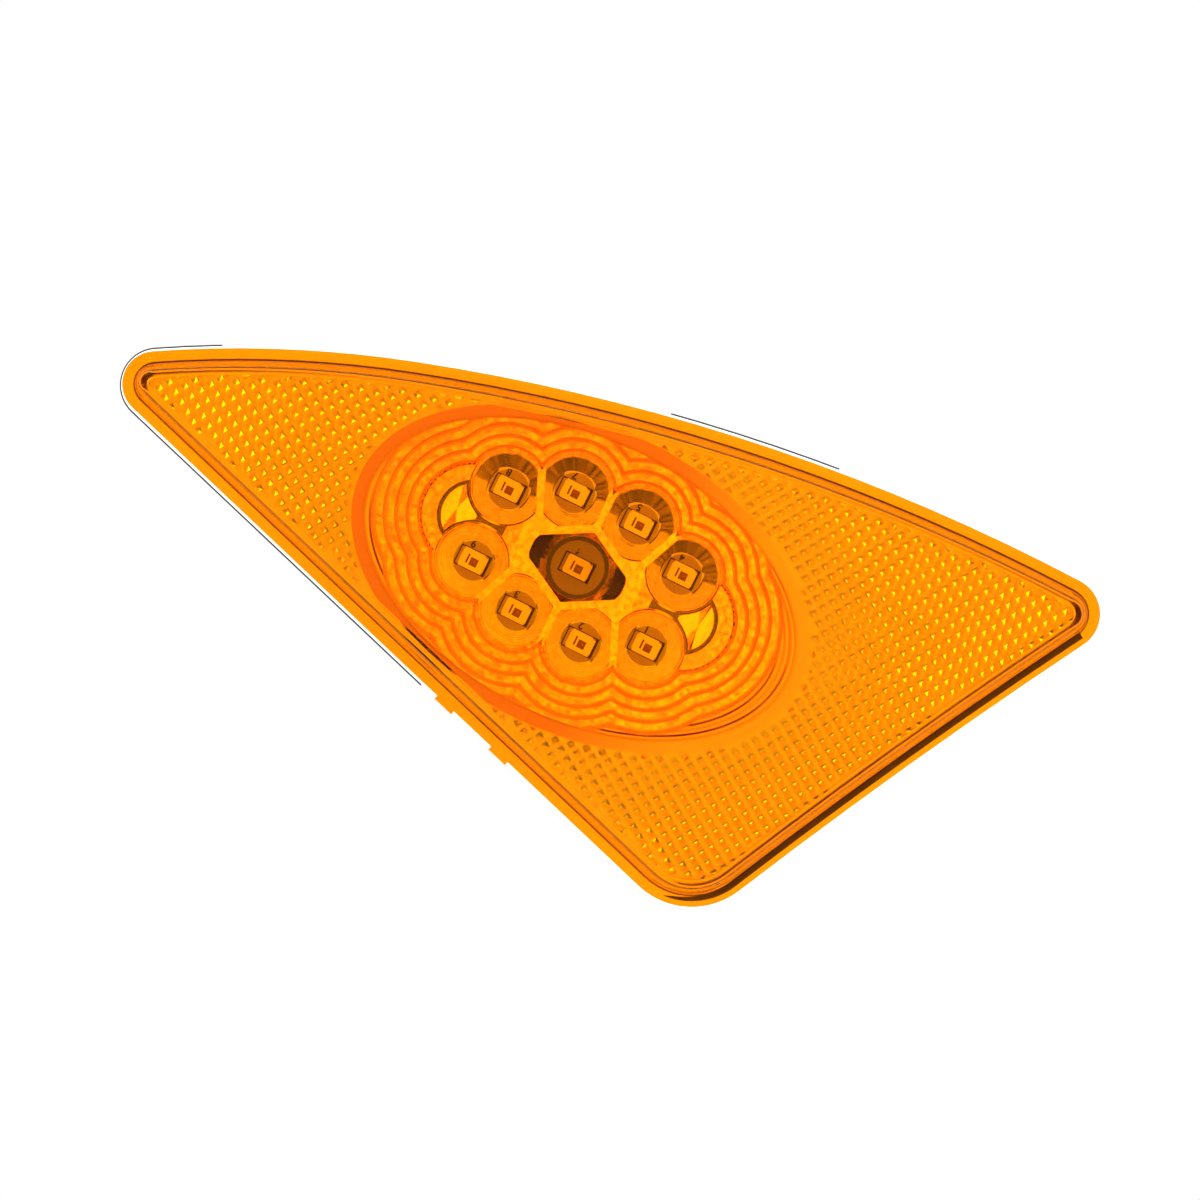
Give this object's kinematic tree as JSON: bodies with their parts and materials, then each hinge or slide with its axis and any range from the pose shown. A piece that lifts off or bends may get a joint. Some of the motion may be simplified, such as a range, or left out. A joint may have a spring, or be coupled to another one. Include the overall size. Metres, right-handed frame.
{
  "type": "fender marker lamp",
  "caption": "Flat three-cornered amber LED marker lamp for a vehicle fender, with a prism lens round an oval window over a metallised reflector, and studs behind.",
  "frame": {"origin": "midway between the two studs, on the mounting face, behind the centre of the oval window", "axes": "+Z out of the lens, +X along the window's long axis towards the wide end, +Y towards the crowned edge"},
  "size_m": [0.1395, 0.0676, 0.022],
  "materials": {
    "amber_lens": "clear amber, polished",
    "black_housing": "moulded, front face metallised",
    "metallised_mirror": "vacuum metallised",
    "white_board": "white solder mask",
    "led_body": "moulded",
    "black_chip": "moulded",
    "zinc_steel": "zinc plated",
    "black_rubber": "matt",
    "black_foam": "closed-cell foam"
  },
  "bodies": {
    "root": {"amber_lens": "amber_lens", "housing": "black_housing", "reflector": "metallised_mirror", "circuit_board": "white_board", "reverse_diode": "black_chip", "board_screws": "zinc_steel", "cable_grommet": "black_rubber", "mounting_gasket": "black_foam", "mounting_stud_1": "zinc_steel", "mounting_stud_2": "zinc_steel", "led_1": "led_body", "led_2": "led_body", "led_3": "led_body", "led_4": "led_body", "led_5": "led_body", "led_6": "led_body", "led_7": "led_body", "led_8": "led_body", "led_9": "led_body", "resistor_1": "black_chip", "resistor_2": "black_chip", "resistor_3": "black_chip"}
  },
  "joints": []
}
